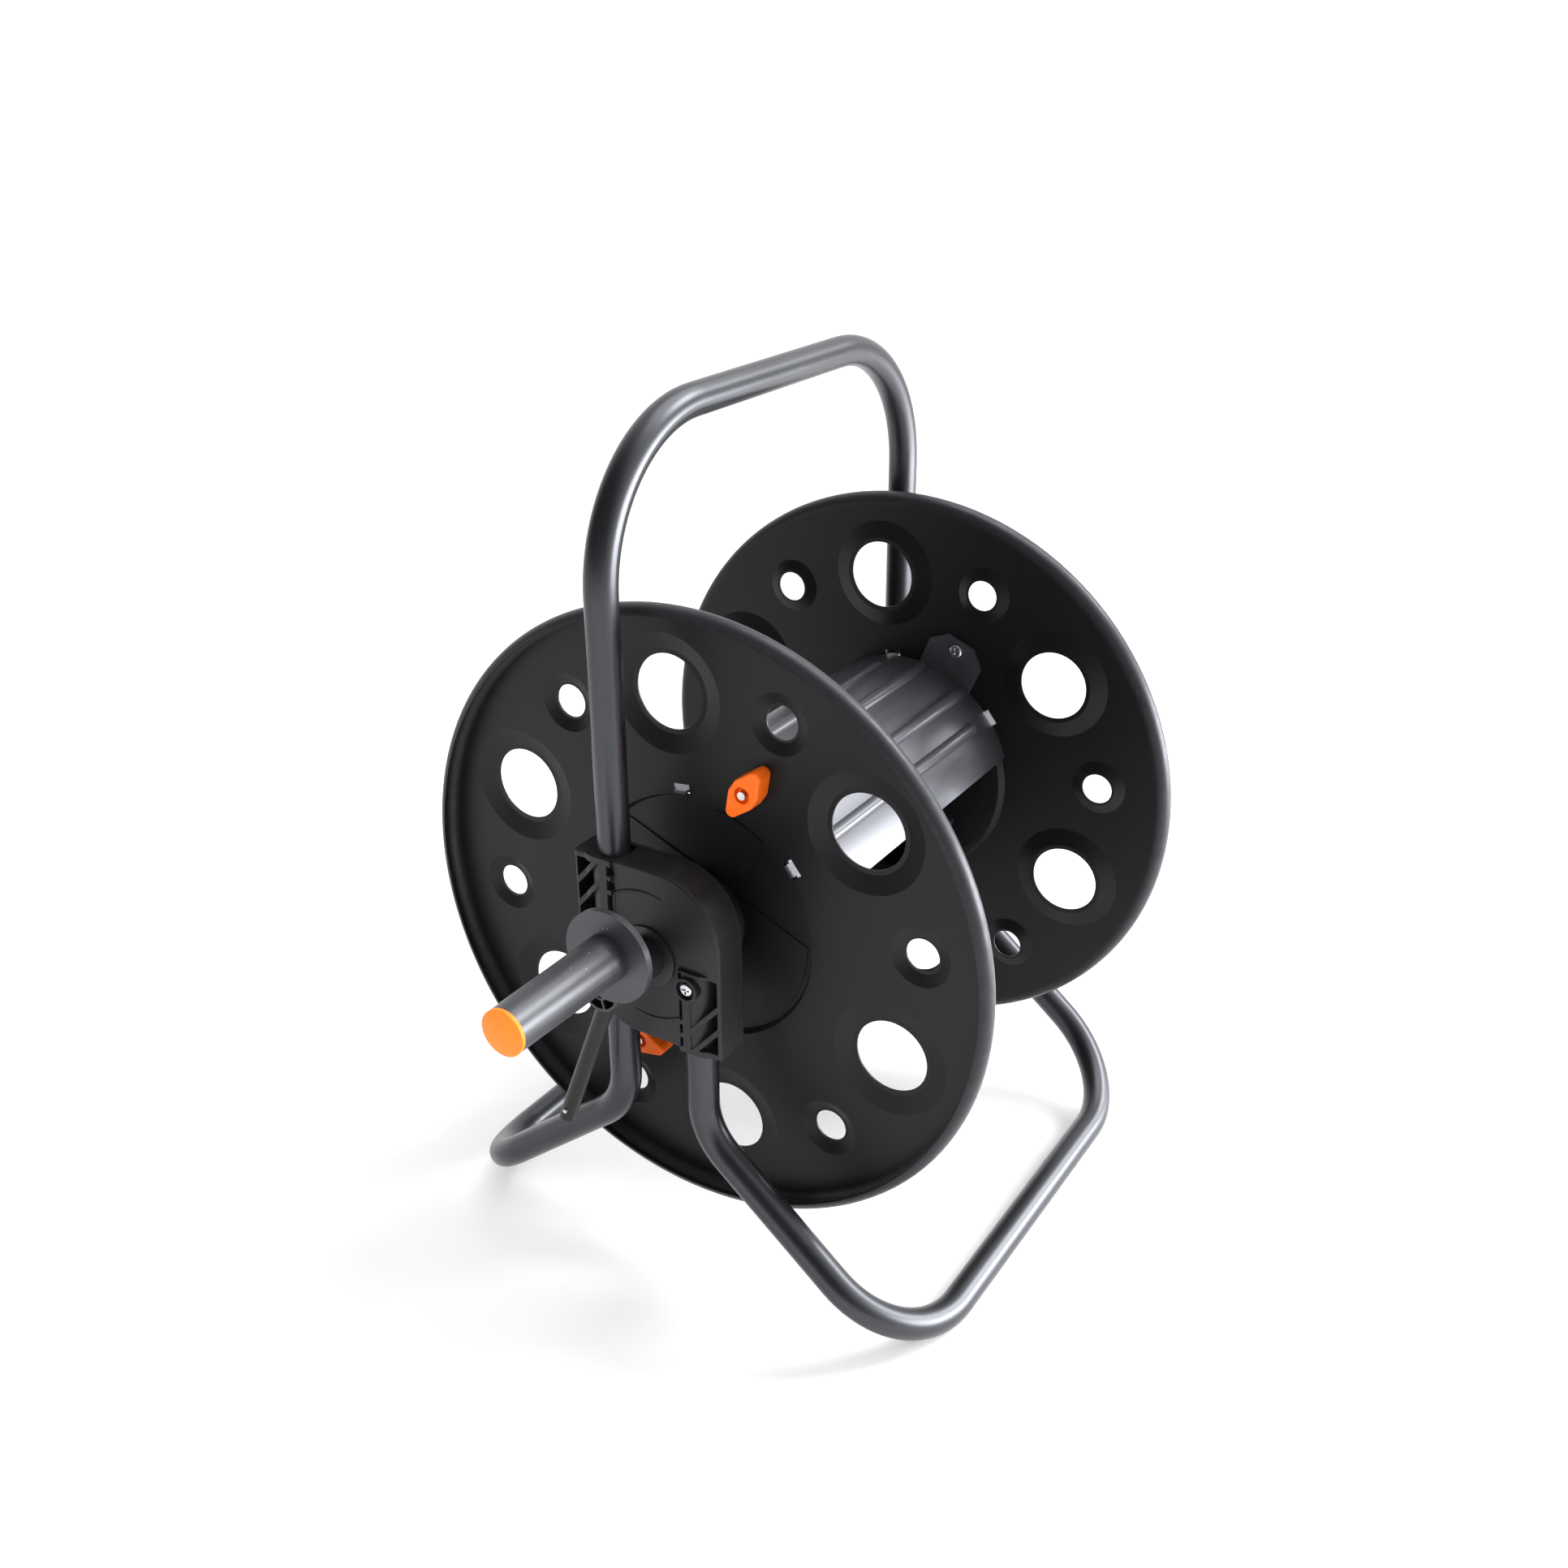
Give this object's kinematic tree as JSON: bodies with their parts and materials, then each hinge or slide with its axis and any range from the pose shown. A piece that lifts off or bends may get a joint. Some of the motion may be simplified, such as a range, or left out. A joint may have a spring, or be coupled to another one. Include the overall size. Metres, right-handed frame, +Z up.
{
  "type": "garden hose reel",
  "caption": "Free-standing hand-wound garden hose reel: bent tube frame with carrying handle, drum between pierced discs, and a sliding crank with a spinning grip.",
  "frame": {"origin": "on the floor, under the middle of the whole reel's bounding box", "axes": "+Z up, Y along the reel axis with the crank end at -Y and the water end at +Y, +X towards the rear foot, which is the side away from the handle hoop"},
  "size_m": [0.3886, 0.531, 0.543],
  "materials": {
    "tube_paint": "satin silver-grey paint on steel tube",
    "disc_enamel": "satin black enamel on pressed steel sheet",
    "bracket_plastic": "fine-grained black moulded plastic",
    "bearing_plastic": "smooth black bearing plastic",
    "drum_plastic": "satin dark grey moulded plastic",
    "hub_plastic": "satin black moulded plastic",
    "zinc_steel": "bright zinc plate",
    "orange_plastic": "satin orange moulded plastic",
    "arm_paint": "satin black paint on steel rod",
    "grip_plastic": "satin grey moulded plastic",
    "seal_rubber": "black nitrile rubber"
  },
  "bodies": {
    "frame": {"handle_tube": "tube_paint", "front_foot_tube": "tube_paint", "rear_foot_tube": "tube_paint", "crank_side_bracket": "bracket_plastic", "water_side_bracket": "bracket_plastic", "crank_side_back_plate": "bracket_plastic", "water_side_back_plate": "bracket_plastic", "crank_side_bush": "bearing_plastic", "water_side_bush": "bearing_plastic", "bracket_screws": "zinc_steel"},
    "reel": {"crank_side_disc": "disc_enamel", "water_side_disc": "disc_enamel", "upper_drum_panel": "drum_plastic", "lower_drum_panel": "drum_plastic", "drum_screws": "zinc_steel", "crank_hub": "hub_plastic", "water_axle": "hub_plastic", "hub_screws": "zinc_steel", "axle_seals": "seal_rubber", "outlet_elbow": "hub_plastic", "crank_side_washer": "bearing_plastic", "water_side_washer": "bearing_plastic"},
    "crank": {"crank_arm": "arm_paint", "arm_stop_pin": "zinc_steel", "grip_push_nut": "zinc_steel"},
    "grip": {"grip_sleeve": "grip_plastic", "grip_cap": "orange_plastic"},
    "crank_upper_wing_nut": {"crank_upper_wing_nut": "orange_plastic"},
    "crank_lower_wing_nut": {"crank_lower_wing_nut": "orange_plastic"},
    "water_upper_wing_nut": {"water_upper_wing_nut": "orange_plastic"},
    "water_lower_wing_nut": {"water_lower_wing_nut": "orange_plastic"},
    "inlet": {"inlet_elbow": "hub_plastic", "inlet_clip": "zinc_steel"}
  },
  "joints": [
    {"name": "reel_spin", "type": "hinge", "parent": "frame", "child": "reel", "pos_m": [0, 0.0465, 0.2415], "axis": [0, 1, 0], "continuous": true},
    {"name": "arm_slide", "type": "slide", "parent": "reel", "child": "crank", "axis": [0.3584, 0, 0.9336], "range_m": [0, 0.09]},
    {"name": "grip_spin", "type": "hinge", "parent": "crank", "child": "grip", "pos_m": [0.01075, -0.2135, 0.26951], "axis": [0, 1, 0], "continuous": true},
    {"name": "crank_upper_wing_nut_turn", "type": "hinge", "parent": "reel", "child": "crank_upper_wing_nut", "pos_m": [0.03956, -0.0858, 0.33606], "axis": [0, -1, 0], "continuous": true},
    {"name": "crank_lower_wing_nut_turn", "type": "hinge", "parent": "reel", "child": "crank_lower_wing_nut", "pos_m": [-0.03956, -0.0858, 0.14694], "axis": [0, -1, 0], "continuous": true},
    {"name": "water_upper_wing_nut_turn", "type": "hinge", "parent": "reel", "child": "water_upper_wing_nut", "pos_m": [0.03956, 0.1788, 0.33606], "axis": [0, 1, 0], "continuous": true},
    {"name": "water_lower_wing_nut_turn", "type": "hinge", "parent": "reel", "child": "water_lower_wing_nut", "pos_m": [-0.03956, 0.1788, 0.14694], "axis": [0, 1, 0], "continuous": true},
    {"name": "inlet_swivel", "type": "hinge", "parent": "frame", "child": "inlet", "pos_m": [0, 0.2545, 0.2415], "axis": [0, 1, 0], "continuous": true}
  ]
}
